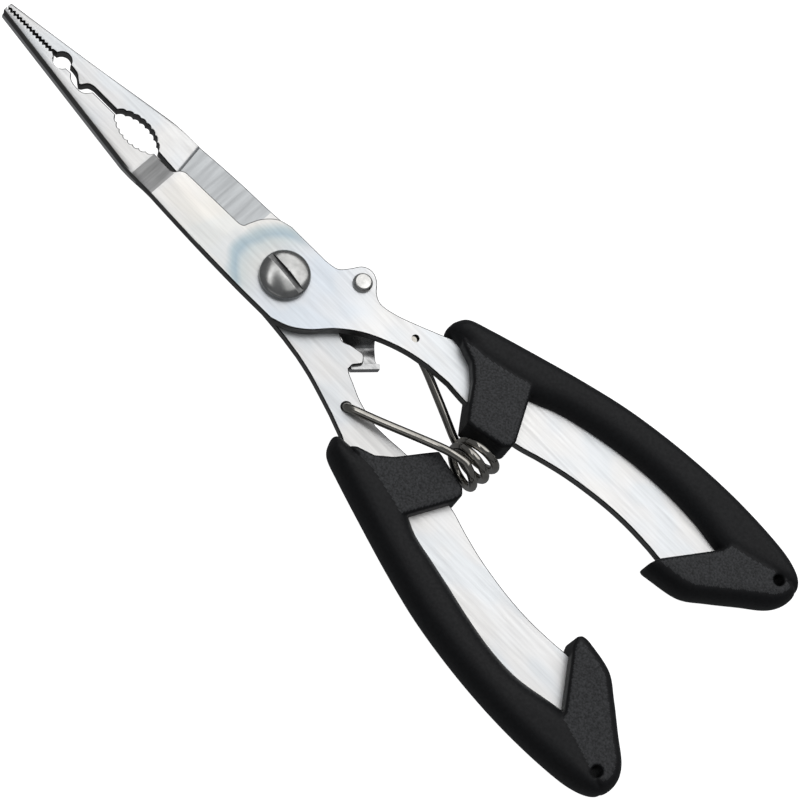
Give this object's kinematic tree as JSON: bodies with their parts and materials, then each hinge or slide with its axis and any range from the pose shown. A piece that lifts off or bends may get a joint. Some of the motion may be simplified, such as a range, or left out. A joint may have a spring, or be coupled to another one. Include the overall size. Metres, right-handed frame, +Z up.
{
  "type": "fishing pliers",
  "caption": "Long-nose locking fishing pliers: crossed steel plates with serrated jaws, shear blades, opening spring, hook latch and black moulded grips.",
  "frame": {"origin": "on the pivot axis, at the plane the pliers lie on, which is the back face of the pivot screw and nut", "axes": "+X from the pivot to the jaw tips, +Z up through the plates to the screw head, the upper plate's handle on the -Y side"},
  "size_m": [0.1802, 0.061, 0.0129],
  "materials": {
    "plate_steel": "fine satin brushing along the jaws, cross-ground on the shear blade",
    "bright_steel": "machined and polished",
    "latch_steel": "bent sheet with sheared edges",
    "spring_wire": "bright drawn wire, dark reflections",
    "grip_plastic": "fine moulded texture on the blocks, smoother outside strip"
  },
  "bodies": {
    "upper_half": {"jaw_plate_top": "plate_steel", "grip_top": "grip_plastic", "pivot_screw": "bright_steel", "pivot_washer": "bright_steel", "pivot_nut": "bright_steel", "latch_rivet": "bright_steel", "return_spring": "spring_wire"},
    "lower_half": {"jaw_plate_bottom": "plate_steel", "grip_bottom": "grip_plastic"},
    "latch": {"lock_latch": "latch_steel"}
  },
  "joints": [
    {"name": "jaw_pivot", "type": "hinge", "parent": "upper_half", "child": "lower_half", "pos_m": [0, 0, 0.0065], "axis": [0, 0, -1], "range_deg": [0, 28], "deforming": ["return_spring"]},
    {"name": "latch_swing", "type": "hinge", "parent": "upper_half", "child": "latch", "pos_m": [-0.0107, -0.0099, 0.0059], "axis": [0, 0, 1], "range_deg": [0, 20]}
  ]
}
